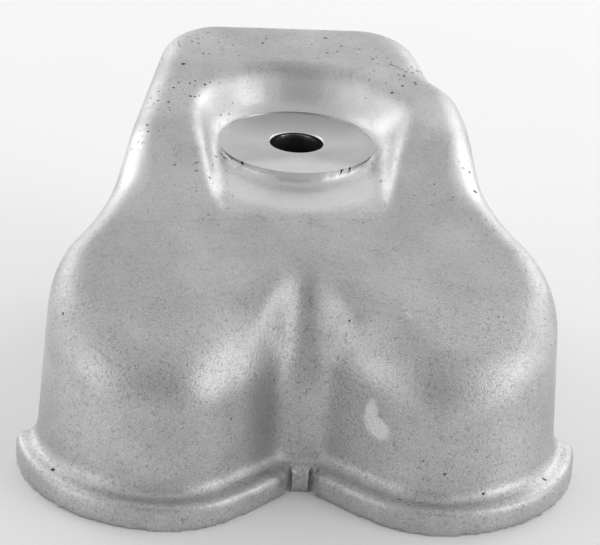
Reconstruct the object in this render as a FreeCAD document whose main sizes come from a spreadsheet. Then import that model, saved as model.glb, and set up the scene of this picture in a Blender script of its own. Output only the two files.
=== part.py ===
import FreeCAD, Part
import math
import os

import Sketcher

# Die-cast rocker cover: one thin-walled aluminium shell that stands on its flange.
# Millimetres. x and y are measured from the bolt hole's axis and z from the sealing plane:
# -Y is the low front with the two lobes, +Y is the high back. The finished cover is then
# shifted so that the origin lies in the middle of its footprint.

SIZES = [
    ("lobe_radius", 30.5, "outside of a lobe's wall at the sealing plane"),
    ("lobe_offset", 30.3, "lobe centre to the plane of symmetry"),
    ("lobe_forward", 49.8, "bolt axis forward to the lobe centres"),
    ("nose_radius", 20.0, "tighter round at a lobe's inner front"),
    ("flank_angle", 42.0, "straight flank of the valley, from straight across"),
    ("flank_meet", 59.2, "bolt axis forward to where the two flanks would meet"),
    ("valley_width", 9.0, "flat strip at the bottom of the valley"),
    ("valley_radius", 3.5, "hollow round from the strip to a flank"),
    ("shoulder_radius", 44.0, "hollow round from lobe to neck"),
    ("neck_half_width", 44.2, "plane of symmetry to the neck's wall, beside the bolt axis"),
    ("neck_taper", 10.3, "lean of the neck's wall, narrower towards the back"),
    ("corner_radius", 20.0, "back corners of the wall"),
    ("back_reach", 55.0, "bolt axis back to the rear wall"),
    ("wall", 3.5, "thickness of the shell"),
    ("draft", 3.7, "draft of the outer and inner walls"),
    ("crown_start", 2.9, "bolt axis forward to where the main face meets the crown"),
    ("crown_height", 65.5, "height of the crown where the main face meets it"),
    ("crown_tilt", 8.0, "rise of the crown towards the back"),
    ("crown_round", 40.0, "round between crown and main face"),
    ("slope_angle", 21.3, "fall of the main face"),
    ("valley_round", 20.0, "round from the main face down into the valley"),
    ("lobe_round", 16.0, "round from the main face down into a lobe's front"),
    ("side_round", 7.0, "round from the main face down into a lobe's side, where the shoulder starts"),
    ("neck_round", 7.0, "round from crown and main face down into the neck's wall"),
    ("flange_ledge", 4.5, "flange beyond the wall"),
    ("flange_thickness", 6.5, "height of the flange"),
    ("flange_back", 49.0, "bolt axis forward to the flange's rear ends"),
    ("flange_end_round", 4.0, "rounded corners at the flange's rear ends"),
    ("flange_round", 1.6, "upper outer edge of the flange"),
    ("flange_root", 2.2, "hollow round from flange to wall"),
    ("flange_valley", 1.0, "hollow round where the flanges of the two lobes meet"),
    ("notch_radius", 3.8, "round notch in the flange between the lobes"),
    ("notch_gap", 10.6, "notch centre in front of where the flanks would meet"),
    ("notch_ends", 2.0, "rounded ends of the flange at the notch"),
    ("seat_height", 59.3, "machined bolt seat above the sealing plane"),
    ("seat_radius", 19.0, "machined bolt seat"),
    ("seat_thickness", 6.5, "metal under the bolt seat"),
    ("boss_radius", 14.0, "round boss under the bolt seat"),
    ("bolt_hole", 13.0, "bolt hole's diameter"),
    ("bolt_chamfer", 0.5, "chamfer at the mouth of the bolt hole"),
    ("recess_margin", 1.0, "recess floor beyond the bolt seat"),
    ("recess_flare", 33.0, "lean of the recess's wall"),
    ("recess_tilt", 9.0, "fall of the recess's floor in front of the seat"),
    ("recess_foot", 4.0, "hollow round at the foot of the recess's wall"),
    ("recess_rim", 4.5, "round from the recess's wall to crown and main face"),
    ("recess_rim_front", 0.5, "the same round at the recess's front, where its wall runs out"),
]

doc = FreeCAD.newDocument("rocker_cover")
sheet = doc.addObject("Spreadsheet::Sheet", "sizes")
for row, (alias, value, note) in enumerate(SIZES, start=1):
    sheet.set(f"A{row}", alias)
    sheet.set(f"B{row}", str(value))
    sheet.set(f"C{row}", note)
    sheet.setAlias(f"B{row}", alias)
doc.recompute()
size = {alias: float(sheet.get(alias)) for alias, _, _ in SIZES}
UP = FreeCAD.Vector(0, 0, 1)


def new_sketch(body, name, role):
    """An empty sketch on the body's own origin plane with this role."""
    plane = next(feature for feature in body.Origin.OriginFeatures if feature.Role == role)
    sketch = body.newObject("Sketcher::SketchObject", name)
    sketch.AttachmentSupport = [(plane, "")]
    sketch.MapMode = "FlatFace"
    return sketch


def rule(sketch, kind, *where):
    """Adds a constraint that has no size."""
    sketch.addConstraint(Sketcher.Constraint(kind, *where))


def drive(sketch, name, expression, kind, *where):
    """Adds a constraint with a size, names it and ties it to the sheet."""
    index = sketch.addConstraint(Sketcher.Constraint(kind, *where))
    sketch.renameConstraint(index, name)
    sketch.setExpression(f"Constraints.{name}", expression)


def flip(point):
    """The point's image across the plane of symmetry."""
    return FreeCAD.Vector(-point.x, point.y, 0)


def bearing(point, centre):
    """Angle of a point seen from a centre."""
    return math.atan2(point.y - centre.y, point.x - centre.x)


def arc_between(centre, start, end):
    """Arc round the centre, anticlockwise from start to end."""
    circle = Part.Circle(centre, UP, (start - centre).Length)
    return Part.ArcOfCircle(circle, bearing(start, centre), bearing(end, centre))


def draw_outline(sketch, grow, grow_text, valley, valley_text):
    """The wall's outline moved outwards by `grow`: two lobes, hollow shoulders, a tapered neck."""
    lobe_r = size["lobe_radius"] + grow
    nose_r = size["nose_radius"] + grow
    shoulder_r = size["shoulder_radius"] - grow
    corner_r = size["corner_radius"] + grow
    back_y = size["back_reach"] + grow
    flank = math.radians(size["flank_angle"])
    flank_along = FreeCAD.Vector(math.cos(flank), -math.sin(flank), 0)
    flank_inward = FreeCAD.Vector(math.sin(flank), math.cos(flank), 0)
    vee = FreeCAD.Vector(0, -size["flank_meet"] - grow / math.cos(flank), 0)
    taper = math.radians(size["neck_taper"])
    along = FreeCAD.Vector(-math.sin(taper), math.cos(taper), 0)
    outward = FreeCAD.Vector(math.cos(taper), math.sin(taper), 0)
    neck = FreeCAD.Vector(size["neck_half_width"] + grow / math.cos(taper), 0, 0)

    strip_y = -size["flank_meet"] - size["valley_width"] / 2 * math.tan(flank) - grow
    kink = FreeCAD.Vector(size["valley_width"] / 2 - grow * math.tan(flank / 2), strip_y, 0)
    strip_end = kink - FreeCAD.Vector(valley * math.tan(flank / 2), 0, 0)
    dip = strip_end - FreeCAD.Vector(0, valley, 0)
    dip_end = kink + flank_along * (valley * math.tan(flank / 2))
    lobe = FreeCAD.Vector(size["lobe_offset"], -size["lobe_forward"], 0)
    depth = flank_inward.dot(lobe - vee) - nose_r
    ahead = math.sqrt((lobe_r - nose_r) ** 2 - depth**2)
    nose = lobe - flank_inward * depth + flank_along * ahead
    nose_start = nose - flank_inward * nose_r
    nose_end = lobe + (nose - lobe) * (lobe_r / (lobe_r - nose_r))
    reach = outward.dot(neck - lobe) + shoulder_r
    shoulder = lobe + outward * reach + along * math.sqrt((lobe_r + shoulder_r) ** 2 - reach**2)
    lobe_end = lobe + (shoulder - lobe) * (lobe_r / (lobe_r + shoulder_r))
    neck_start = shoulder - outward * shoulder_r
    corner_y = back_y - corner_r
    corner_x = (outward.dot(neck) - corner_r - outward.y * corner_y) / outward.x
    corner = FreeCAD.Vector(corner_x, corner_y, 0)
    neck_end = corner + outward * corner_r
    back = FreeCAD.Vector(corner_x, back_y, 0)

    add = sketch.addGeometry
    strip = add(Part.LineSegment(flip(strip_end), strip_end))
    right_dip = add(arc_between(dip, dip_end, strip_end))
    right_flank = add(Part.LineSegment(dip_end, nose_start))
    right_nose = add(arc_between(nose, nose_start, nose_end))
    right_lobe = add(arc_between(lobe, nose_end, lobe_end))
    right_shoulder = add(arc_between(shoulder, neck_start, lobe_end))
    right_neck = add(Part.LineSegment(neck_start, neck_end))
    right_corner = add(arc_between(corner, neck_end, back))
    rear = add(Part.LineSegment(back, flip(back)))
    left_corner = add(arc_between(flip(corner), flip(back), flip(neck_end)))
    left_neck = add(Part.LineSegment(flip(neck_end), flip(neck_start)))
    left_shoulder = add(arc_between(flip(shoulder), flip(lobe_end), flip(neck_start)))
    left_lobe = add(arc_between(flip(lobe), flip(lobe_end), flip(nose_end)))
    left_nose = add(arc_between(flip(nose), flip(nose_end), flip(nose_start)))
    left_flank = add(Part.LineSegment(flip(nose_start), flip(dip_end)))
    left_dip = add(arc_between(flip(dip), flip(strip_end), flip(dip_end)))
    beside = add(Part.Point(neck), True)
    meet = add(Part.Point(vee), True)

    rule(sketch, "Tangent", strip, 2, right_dip, 2)
    rule(sketch, "Tangent", right_dip, 1, right_flank, 1)
    rule(sketch, "Tangent", right_flank, 2, right_nose, 1)
    rule(sketch, "Tangent", right_nose, 2, right_lobe, 1)
    rule(sketch, "Tangent", right_lobe, 2, right_shoulder, 2)
    rule(sketch, "Tangent", right_shoulder, 1, right_neck, 1)
    rule(sketch, "Tangent", right_neck, 2, right_corner, 1)
    rule(sketch, "Tangent", right_corner, 2, rear, 1)
    rule(sketch, "Tangent", rear, 2, left_corner, 1)
    rule(sketch, "Tangent", left_corner, 2, left_neck, 1)
    rule(sketch, "Tangent", left_neck, 2, left_shoulder, 2)
    rule(sketch, "Tangent", left_shoulder, 1, left_lobe, 1)
    rule(sketch, "Tangent", left_lobe, 2, left_nose, 1)
    rule(sketch, "Tangent", left_nose, 2, left_flank, 1)
    rule(sketch, "Tangent", left_flank, 2, left_dip, 2)
    rule(sketch, "Tangent", left_dip, 1, strip, 1)
    rule(sketch, "Symmetric", strip, 1, strip, 2, -2)
    rule(sketch, "Horizontal", rear)
    rule(sketch, "PointOnObject", beside, 1, -1)
    rule(sketch, "PointOnObject", beside, 1, right_neck)
    rule(sketch, "PointOnObject", meet, 1, -2)
    rule(sketch, "PointOnObject", meet, 1, right_flank)
    rule(sketch, "Symmetric", right_lobe, 3, left_lobe, 3, -2)
    rule(sketch, "Symmetric", right_nose, 3, left_nose, 3, -2)
    rule(sketch, "Symmetric", right_neck, 2, left_neck, 1, -2)
    rule(sketch, "Equal", right_dip, left_dip)
    rule(sketch, "Equal", right_nose, left_nose)
    rule(sketch, "Equal", right_shoulder, left_shoulder)
    rule(sketch, "Equal", right_corner, left_corner)
    drive(sketch, "valley", valley_text, "Radius", right_dip, valley)
    drive(sketch, "strip_y", "-sizes.flank_meet - sizes.valley_width / 2 * tan(sizes.flank_angle * 1deg)"
          f" - ({grow_text})", "DistanceY", -1, 1, strip, 1, strip_y)
    drive(sketch, "nose", f"sizes.nose_radius + ({grow_text})", "Radius", right_nose, nose_r)
    drive(sketch, "lobe", f"sizes.lobe_radius + ({grow_text})", "Radius", right_lobe, lobe_r)
    drive(sketch, "shoulder", f"sizes.shoulder_radius - ({grow_text})", "Radius", right_shoulder, shoulder_r)
    drive(sketch, "corner", f"sizes.corner_radius + ({grow_text})", "Radius", right_corner, corner_r)
    drive(sketch, "flank_lean", "-sizes.flank_angle * 1deg", "Angle", right_flank, -flank)
    drive(sketch, "flank_y", f"-sizes.flank_meet - ({grow_text}) / cos(sizes.flank_angle * 1deg)",
          "DistanceY", -1, 1, meet, 1, vee.y)
    drive(sketch, "lobe_x", "sizes.lobe_offset", "DistanceX", -1, 1, right_lobe, 3, lobe.x)
    drive(sketch, "lobe_y", "-sizes.lobe_forward", "DistanceY", -1, 1, right_lobe, 3, lobe.y)
    drive(sketch, "neck_x", f"sizes.neck_half_width + ({grow_text}) / cos(sizes.neck_taper * 1deg)",
          "DistanceX", -1, 1, beside, 1, neck.x)
    drive(sketch, "back_y", f"sizes.back_reach + ({grow_text})", "DistanceY", -1, 1, rear, 1, back_y)
    drive(sketch, "neck_lean", "90deg + sizes.neck_taper * 1deg", "Angle", right_neck, math.pi / 2 + taper)


def draw_roof(sketch, inset, inset_text):
    """The wedge of air above crown and main face, with the round where they meet."""
    fall = math.radians(size["slope_angle"])
    rise = math.radians(size["crown_tilt"])
    bend = size["crown_round"] - inset
    reach = size["lobe_forward"] + 2 * size["lobe_radius"]
    mean = (fall + rise) / 2
    shift = inset / math.cos((fall - rise) / 2)
    start = FreeCAD.Vector(-size["crown_start"] + shift * math.sin(mean),
                           size["crown_height"] - shift * math.cos(mean), 0)
    downhill = FreeCAD.Vector(-math.cos(fall), -math.sin(fall), 0)
    uphill = FreeCAD.Vector(math.cos(rise), math.sin(rise), 0)
    tangent = bend * math.tan((fall - rise) / 2)
    low = start + downhill * (reach / math.cos(fall))
    high = start + uphill * (reach / math.cos(rise))
    curve_low = start + downhill * tangent
    curve_high = start + uphill * tangent
    centre = curve_high + FreeCAD.Vector(math.sin(rise), -math.cos(rise), 0) * bend
    lid_height = start.y + reach
    back_top = FreeCAD.Vector(high.x, lid_height, 0)
    front_top = FreeCAD.Vector(low.x, lid_height, 0)

    add = sketch.addGeometry
    face = add(Part.LineSegment(low, curve_low))
    curve = add(arc_between(centre, curve_high, curve_low))
    crown = add(Part.LineSegment(curve_high, high))
    riser = add(Part.LineSegment(high, back_top))
    lid = add(Part.LineSegment(back_top, front_top))
    front = add(Part.LineSegment(front_top, low))
    meet = add(Part.Point(start), True)

    rule(sketch, "Tangent", face, 2, curve, 2)
    rule(sketch, "Tangent", curve, 1, crown, 1)
    rule(sketch, "Coincident", crown, 2, riser, 1)
    rule(sketch, "Coincident", riser, 2, lid, 1)
    rule(sketch, "Coincident", lid, 2, front, 1)
    rule(sketch, "Coincident", front, 2, face, 1)
    rule(sketch, "Vertical", riser)
    rule(sketch, "Horizontal", lid)
    rule(sketch, "Vertical", front)
    rule(sketch, "PointOnObject", meet, 1, face)
    rule(sketch, "PointOnObject", meet, 1, crown)
    shift_text = f"({inset_text}) / cos((sizes.slope_angle - sizes.crown_tilt) * 0.5deg)"
    mean_text = "(sizes.slope_angle + sizes.crown_tilt) * 0.5deg"
    drive(sketch, "start", f"-sizes.crown_start + {shift_text} * sin({mean_text})",
          "DistanceX", -1, 1, meet, 1, start.x)
    drive(sketch, "height", f"sizes.crown_height - {shift_text} * cos({mean_text})",
          "DistanceY", -1, 1, meet, 1, start.y)
    drive(sketch, "bend", f"sizes.crown_round - ({inset_text})", "Radius", curve, bend)
    drive(sketch, "fall", "sizes.slope_angle * 1deg", "Angle", face, fall)
    drive(sketch, "rise", "sizes.crown_tilt * 1deg", "Angle", crown, rise)
    beyond = "sizes.lobe_forward + 2 * sizes.lobe_radius"
    drive(sketch, "ahead", beyond, "DistanceX", front, 2, meet, 1, reach)
    drive(sketch, "behind", beyond, "DistanceX", meet, 1, riser, 1, reach)
    drive(sketch, "above", beyond, "DistanceY", meet, 1, lid, 1, reach)


def make_block(name, inset, inset_text):
    """The drafted block under crown and main face, its walls moved inwards by `inset`."""
    block = doc.addObject("PartDesign::Body", name)
    outline = new_sketch(block, f"{name}_outline", "XY_Plane")
    draw_outline(outline, -inset, f"-({inset_text})", size["valley_radius"] + inset,
                 f"sizes.valley_radius + ({inset_text})")
    walls = block.newObject("PartDesign::Pad", f"{name}_walls")
    walls.Profile = outline
    walls.setExpression("Length", "sizes.crown_height + sizes.back_reach * tan(sizes.crown_tilt * 1deg)")
    walls.setExpression("TaperAngle", "-sizes.draft")
    wedge = new_sketch(block, f"{name}_wedge", "YZ_Plane")
    draw_roof(wedge, inset, inset_text)
    roof = block.newObject("PartDesign::Pocket", f"{name}_roof")
    roof.Profile = wedge
    roof.Type = "ThroughAll"
    roof.Midplane = True
    doc.recompute()
    return block


def middle_normal(face):
    """The face's normal at the middle of its surface."""
    u_low, u_high, v_low, v_high = face.ParameterRange
    return face.normalAt((u_low + u_high) / 2, (v_low + v_high) / 2)


def edges_between(shape, first, second):
    """Numbers of the edges that part a face passing `first` from a face passing `second`."""
    numbers = []
    for number, edge in enumerate(shape.Edges, start=1):
        faces = shape.ancestorsOfType(edge, Part.Face)
        if len(faces) != 2:
            continue
        if (first(faces[0]) and second(faces[1])) or (first(faces[1]) and second(faces[0])):
            numbers.append(number)
    return numbers


def looks_up(face):
    """True for the crown, the main face and the round between them."""
    return middle_normal(face).z > 0.7


def looks_aside(face):
    """True for a drafted wall."""
    return abs(middle_normal(face).z) < 0.3


def is_level(face):
    """True for a level face that looks up."""
    return middle_normal(face).z > 0.999


def is_upright(face):
    """True for a wall without draft."""
    return abs(middle_normal(face).z) < 0.001


def is_notch(face):
    """True for the wall of the flange's notch."""
    round_wall = is_upright(face) and face.Surface.TypeId == "Part::GeomCylinder"
    return round_wall and abs(face.Surface.Radius - size["notch_radius"]) < 0.001


def is_beside_notch(face):
    """True for the flange's other walls."""
    return is_upright(face) and not is_notch(face)


def is_rear_end(face):
    """True for the flange's flat rear ends."""
    return middle_normal(face).y > 0.999


def is_flange_side(face):
    """True for the flange's walls but its rear ends."""
    return is_upright(face) and not is_rear_end(face)


def is_ledge(face):
    """True for the flange's top."""
    return is_level(face) and abs(face.CenterOfMass.z - size["flange_thickness"]) < 0.001


def is_seat(face):
    """True for the bolt seat."""
    return is_level(face) and abs(face.CenterOfMass.z - size["seat_height"]) < 0.001


def is_bore(face):
    """True for the wall of the bolt hole."""
    round_wall = is_upright(face) and face.Surface.TypeId == "Part::GeomCylinder"
    return round_wall and abs(face.Surface.Radius - size["bolt_hole"] / 2) < 0.001


def is_roof(face):
    """True for the crown, the main face and the round between them, but not for the recess."""
    normal = middle_normal(face)
    return abs(normal.x) < 0.01 and normal.z > 0.9 and face.Surface.TypeId != "Part::GeomToroid"


def is_recess_wall(face):
    """True for the flared wall of the recess."""
    return 0.3 < middle_normal(face).z < 0.7


def is_shoulder(face):
    """True for the hollow wall between a lobe and the neck."""
    hollow = face.Surface.TypeId == "Part::GeomCone" and face.BoundBox.XLength < size["lobe_radius"]
    return looks_aside(face) and hollow and -size["lobe_forward"] < face.CenterOfMass.y < 0


def dress(body, kind, name, first, second, expression):
    """Adds a fillet or chamfer to the body, along the edges that part two kinds of face."""
    base = body.Tip
    feature = body.newObject(f"PartDesign::{kind}", name)
    feature.Base = (base, [f"Edge{number}" for number in edges_between(base.Shape, first, second)])
    feature.setExpression("Size" if kind == "Chamfer" else "Radius", expression)
    doc.recompute()


def walk(shape, waiting, walked, point, way, forward):
    """Walks on from a point along the edges that carry on smoothly, and notes each one's two ends."""
    for number in waiting:
        edge = shape.Edges[number - 1]
        for near, far in ((edge.FirstParameter, edge.LastParameter), (edge.LastParameter, edge.FirstParameter)):
            smooth = abs(edge.tangentAt(near).dot(way)) > 0.999
            if smooth and (edge.valueAt(near) - point).Length < 0.001:
                waiting.remove(number)
                end = edge.valueAt(far)
                walked[number] = (point, end) if forward else (end, point)
                walk(shape, waiting, walked, end, edge.tangentAt(far), forward)
                return


def edge_ends(shape, numbers):
    """Each edge's two ends, in the direction in which its chain of smooth edges runs from its first edge."""
    waiting = list(numbers)
    walked = {}
    while waiting:
        first = waiting.pop(0)
        edge = shape.Edges[first - 1]
        start = edge.valueAt(edge.FirstParameter)
        end = edge.valueAt(edge.LastParameter)
        walked[first] = (start, end)
        walk(shape, waiting, walked, end, edge.tangentAt(edge.LastParameter), True)
        walk(shape, waiting, walked, start, edge.tangentAt(edge.FirstParameter), False)
    return walked


def changing_round(name, base, numbers, round_at):
    """A fillet whose radius at each end of each edge is `round_at` of that end."""
    ends = edge_ends(base.Shape, numbers)
    fillet = doc.addObject("Part::Fillet", name)
    fillet.Base = base
    fillet.Edges = [(number, round_at(ends[number][0]), round_at(ends[number][1])) for number in numbers]
    doc.recompute()
    return fillet


def round_block(name, block, inset):
    """Rounds the block's top edges, with a round that changes from valley to lobe, side and neck."""
    shape = block.Shape
    numbers = edges_between(shape, looks_up, looks_aside)
    shoulders = [face.BoundBox for face in shape.Faces if is_shoulder(face)]
    low = min(box.YMin for box in shoulders)
    high = max(box.YMax for box in shoulders)

    def round_at(point):
        """The round's radius at this end of an edge."""
        if point.y < low - size["wall"] and abs(point.x) < size["valley_width"]:
            return size["valley_round"] - inset
        if point.y < low - size["wall"]:
            return size["lobe_round"] - inset
        share = min(max((point.y - low) / (high - low), 0), 1)
        return size["side_round"] + (size["neck_round"] - size["side_round"]) * share - inset

    return changing_round(name, block, numbers, round_at)


def draw_section(sketch, grow, grow_text, whole):
    """Section through the recess at the bolt axis: all of it, or only its +X half for turning."""
    flare = math.radians(size["recess_flare"])
    foot_r = size["recess_foot"] + grow
    floor_z = size["seat_height"] - grow
    floor_r = size["seat_radius"] + size["recess_margin"] + grow * math.tan(math.pi / 4 - flare / 2)
    height = size["crown_height"] - size["seat_height"] + size["seat_radius"]
    along = FreeCAD.Vector(math.sin(flare), math.cos(flare), 0)
    corner = FreeCAD.Vector(floor_r, floor_z, 0)
    tangent = foot_r * math.tan(math.pi / 4 - flare / 2)
    foot_low = corner - FreeCAD.Vector(tangent, 0, 0)
    foot_high = corner + along * tangent
    foot_centre = foot_low + FreeCAD.Vector(0, foot_r, 0)
    rim = corner + along * (height / along.y)
    axis_low = FreeCAD.Vector(0, floor_z, 0)
    axis_high = FreeCAD.Vector(0, rim.y, 0)

    add = sketch.addGeometry
    foot = add(arc_between(foot_centre, foot_low, foot_high))
    wall = add(Part.LineSegment(foot_high, rim))
    rule(sketch, "Tangent", foot, 2, wall, 1)
    meet = add(Part.Point(corner), True)
    rule(sketch, "PointOnObject", meet, 1, wall)
    rule(sketch, "Horizontal", meet, 1, foot, 1)
    rule(sketch, "Vertical", foot, 1, foot, 3)
    drive(sketch, "foot", f"sizes.recess_foot + ({grow_text})", "Radius", foot, foot_r)
    drive(sketch, "flare", "90deg - sizes.recess_flare * 1deg", "Angle", wall, math.pi / 2 - flare)
    drive(sketch, "floor", f"sizes.seat_height - ({grow_text})", "DistanceY", -1, 1, meet, 1, floor_z)
    drive(sketch, "edge", "sizes.seat_radius + sizes.recess_margin"
          f" + ({grow_text}) * tan(45deg - sizes.recess_flare * 0.5deg)", "DistanceX", -1, 1, meet, 1, floor_r)
    drive(sketch, "height", "sizes.crown_height - sizes.seat_height + sizes.seat_radius",
          "DistanceY", meet, 1, wall, 2, height)
    if not whole:
        lid = add(Part.LineSegment(rim, axis_high))
        axis = add(Part.LineSegment(axis_high, axis_low))
        floor = add(Part.LineSegment(axis_low, foot_low))
        rule(sketch, "Coincident", wall, 2, lid, 1)
        rule(sketch, "Coincident", lid, 2, axis, 1)
        rule(sketch, "Coincident", axis, 2, floor, 1)
        rule(sketch, "Coincident", floor, 2, foot, 1)
        rule(sketch, "Horizontal", lid)
        rule(sketch, "Horizontal", floor)
        rule(sketch, "PointOnObject", lid, 2, -2)
        rule(sketch, "PointOnObject", axis, 2, -2)
        return
    lid = add(Part.LineSegment(rim, flip(rim)))
    far_wall = add(Part.LineSegment(flip(rim), flip(foot_high)))
    far_foot = add(arc_between(flip(foot_centre), flip(foot_high), flip(foot_low)))
    floor = add(Part.LineSegment(flip(foot_low), foot_low))
    rule(sketch, "Coincident", wall, 2, lid, 1)
    rule(sketch, "Coincident", lid, 2, far_wall, 1)
    rule(sketch, "Tangent", far_wall, 2, far_foot, 1)
    rule(sketch, "Coincident", far_foot, 2, floor, 1)
    rule(sketch, "Coincident", floor, 2, foot, 1)
    rule(sketch, "Symmetric", wall, 2, far_wall, 1, -2)
    rule(sketch, "Symmetric", wall, 1, far_wall, 2, -2)
    rule(sketch, "Symmetric", foot, 1, far_foot, 2, -2)


def make_bowl(name, grow, grow_text):
    """The round bowl of air over the bolt seat, its floor and wall moved outwards by `grow`."""
    bowl = doc.addObject("PartDesign::Body", name)
    section = new_sketch(bowl, f"{name}_section", "XZ_Plane")
    draw_section(section, grow, grow_text, False)
    turned = bowl.newObject("PartDesign::Revolution", f"{name}_turned")
    turned.Profile = section
    turned.ReferenceAxis = (section, ["V_Axis"])
    turned.Angle = 360
    doc.recompute()
    return bowl


def make_run(name, grow, grow_text):
    """The open front of the recess: the same section drawn forward and down along the floor's fall."""
    run = doc.addObject("PartDesign::Body", name)
    section = new_sketch(run, f"{name}_section", "XZ_Plane")
    draw_section(section, grow, grow_text, True)
    drawn = run.newObject("PartDesign::Pad", f"{name}_drawn")
    drawn.Profile = section
    drawn.UseCustomVector = True
    drawn.AlongSketchNormal = False
    drawn.Direction = FreeCAD.Vector(0, -1, -math.tan(math.radians(size["recess_tilt"])))
    drawn.setExpression("Direction.z", "-tan(sizes.recess_tilt * 1deg)")
    drawn.setExpression("Length", "sizes.lobe_forward")
    doc.recompute()
    return run


def cut_away(name, base, tools):
    """A cut of several tools from one base."""
    joined = doc.addObject("Part::MultiFuse", f"{name}_tools")
    joined.Shapes = tools
    cut = doc.addObject("Part::Cut", name)
    cut.Base = base
    cut.Tool = joined
    doc.recompute()
    return cut


def circle_sketch(body, name, radius, radius_text, height_text, forward=0, forward_text="0"):
    """A circle on a level plane, centred on the plane of symmetry."""
    sketch = new_sketch(body, name, "XY_Plane")
    sketch.setExpression("AttachmentOffset.Base.z", height_text)
    ring = sketch.addGeometry(Part.Circle(FreeCAD.Vector(0, -forward, 0), UP, radius))
    rule(sketch, "PointOnObject", ring, 3, -2)
    drive(sketch, "forward", f"-({forward_text})", "DistanceY", -1, 1, ring, 3, -forward)
    drive(sketch, "radius", radius_text, "Radius", ring, radius)
    return sketch


def rear_sketch(body, name):
    """A rectangle over everything behind the flange's rear ends."""
    front_y = -size["flange_back"]
    back_y = size["back_reach"] + 2 * size["flange_ledge"]
    side_x = size["lobe_offset"] + 2 * size["lobe_radius"]
    sketch = new_sketch(body, name, "XY_Plane")
    corners = [
        FreeCAD.Vector(side_x, front_y, 0),
        FreeCAD.Vector(side_x, back_y, 0),
        FreeCAD.Vector(-side_x, back_y, 0),
        FreeCAD.Vector(-side_x, front_y, 0),
    ]
    lines = [sketch.addGeometry(Part.LineSegment(corners[i - 1], corners[i])) for i in range(4)]
    for i in range(4):
        rule(sketch, "Coincident", lines[i - 1], 2, lines[i], 1)
    rule(sketch, "Horizontal", lines[2])
    rule(sketch, "Vertical", lines[1])
    rule(sketch, "Vertical", lines[3])
    rule(sketch, "Symmetric", lines[0], 1, lines[0], 2, -2)
    drive(sketch, "front", "-sizes.flange_back", "DistanceY", -1, 1, lines[0], 2, front_y)
    drive(sketch, "back", "sizes.back_reach + 2 * sizes.flange_ledge", "DistanceY", -1, 1, lines[2], 1, back_y)
    drive(sketch, "side", "sizes.lobe_offset + 2 * sizes.lobe_radius", "DistanceX", -1, 1, lines[1], 1, side_x)
    return sketch


def cut_through(body, name, profile, midplane=False):
    """Cuts a profile right through the body, upwards from its plane or both ways."""
    pocket = body.newObject("PartDesign::Pocket", name)
    pocket.Profile = profile
    pocket.Type = "ThroughAll"
    pocket.Midplane = midplane
    pocket.Reversed = not midplane
    doc.recompute()


def make_flange():
    """The flange in front: round the lobes, notched between them, with rounded rear ends."""
    flange = doc.addObject("PartDesign::Body", "flange")
    outline = new_sketch(flange, "flange_outline", "XY_Plane")
    draw_outline(outline, size["flange_ledge"], "sizes.flange_ledge", size["flange_valley"], "sizes.flange_valley")
    plate = flange.newObject("PartDesign::Pad", "flange_plate")
    plate.Profile = outline
    plate.setExpression("Length", "sizes.flange_thickness")
    notch = circle_sketch(flange, "notch_circle", size["notch_radius"], "sizes.notch_radius", "0",
                          size["flank_meet"] + size["notch_gap"], "sizes.flank_meet + sizes.notch_gap")
    cut_through(flange, "flange_notch", notch)
    dress(flange, "Fillet", "notch_ends", is_notch, is_beside_notch, "sizes.notch_ends")
    cut_through(flange, "flange_rear", rear_sketch(flange, "flange_rear_box"))
    dress(flange, "Fillet", "flange_ends", is_rear_end, is_flange_side, "sizes.flange_end_round")
    dress(flange, "Fillet", "flange_edge", is_level, is_upright, "sizes.flange_round")
    return flange


def make_hollow():
    """The air inside the cover: the block and the recess moved by the wall, less the seat's boss."""
    block = make_block("core_block", size["wall"], "sizes.wall")
    rounded = round_block("core_rounded", block, size["wall"])
    bowl = make_bowl("bowl_back", size["wall"], "sizes.wall")
    run = make_run("run_back", size["wall"], "sizes.wall")
    boss = doc.addObject("Part::Cylinder", "seat_boss")
    boss.setExpression("Radius", "sizes.boss_radius")
    boss.setExpression("Height", "sizes.seat_thickness")
    boss.setExpression("Placement.Base.z", "sizes.seat_height - sizes.seat_thickness")
    return cut_away("hollow", rounded, [bowl, run, boss])


def round_rim(carved):
    """Rounds the rim of the recess, less and less towards its open front."""
    numbers = edges_between(carved.Shape, is_roof, is_recess_wall)
    front = min(carved.Shape.Edges[number - 1].BoundBox.YMin for number in numbers)

    def round_at(point):
        """The round's radius at this end of an edge."""
        share = min(max(point.y / front, 0), 1)
        return size["recess_rim"] + (size["recess_rim_front"] - size["recess_rim"]) * share

    return changing_round("rim", carved, numbers, round_at)


def make_solid():
    """The cover's outside as a full solid, with the recess, the flange, the bolt seat and its hole."""
    block = make_block("outer_block", 0, "0")
    rounded = round_block("outer_rounded", block, 0)
    carved = cut_away("carved", rounded, [make_bowl("bowl", 0, "0"), make_run("run", 0, "0")])
    blank = doc.addObject("Part::Fuse", "blank")
    blank.Base = round_rim(carved)
    blank.Tool = make_flange()
    solid = doc.addObject("PartDesign::Body", "solid")
    solid.BaseFeature = blank
    doc.recompute()
    dress(solid, "Fillet", "flange_foot", is_ledge, looks_aside, "sizes.flange_root")

    seat = solid.newObject("PartDesign::Pad", "seat")
    seat.Profile = circle_sketch(solid, "seat_circle", size["seat_radius"], "sizes.seat_radius", "sizes.seat_height")
    seat.Reversed = True
    seat.setExpression("Length", "sizes.seat_radius * tan(sizes.recess_tilt * 1deg) + sizes.wall / 2")
    doc.recompute()
    spot = circle_sketch(solid, "spot_circle", size["seat_radius"], "sizes.seat_radius", "sizes.seat_height")
    cut_through(solid, "seat_face", spot)
    bolt = circle_sketch(solid, "bolt_circle", size["bolt_hole"] / 2, "sizes.bolt_hole / 2", "sizes.seat_height")
    cut_through(solid, "bolt_bore", bolt, midplane=True)
    dress(solid, "Chamfer", "bolt_mouth", is_bore, is_seat, "sizes.bolt_chamfer")
    return solid


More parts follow.
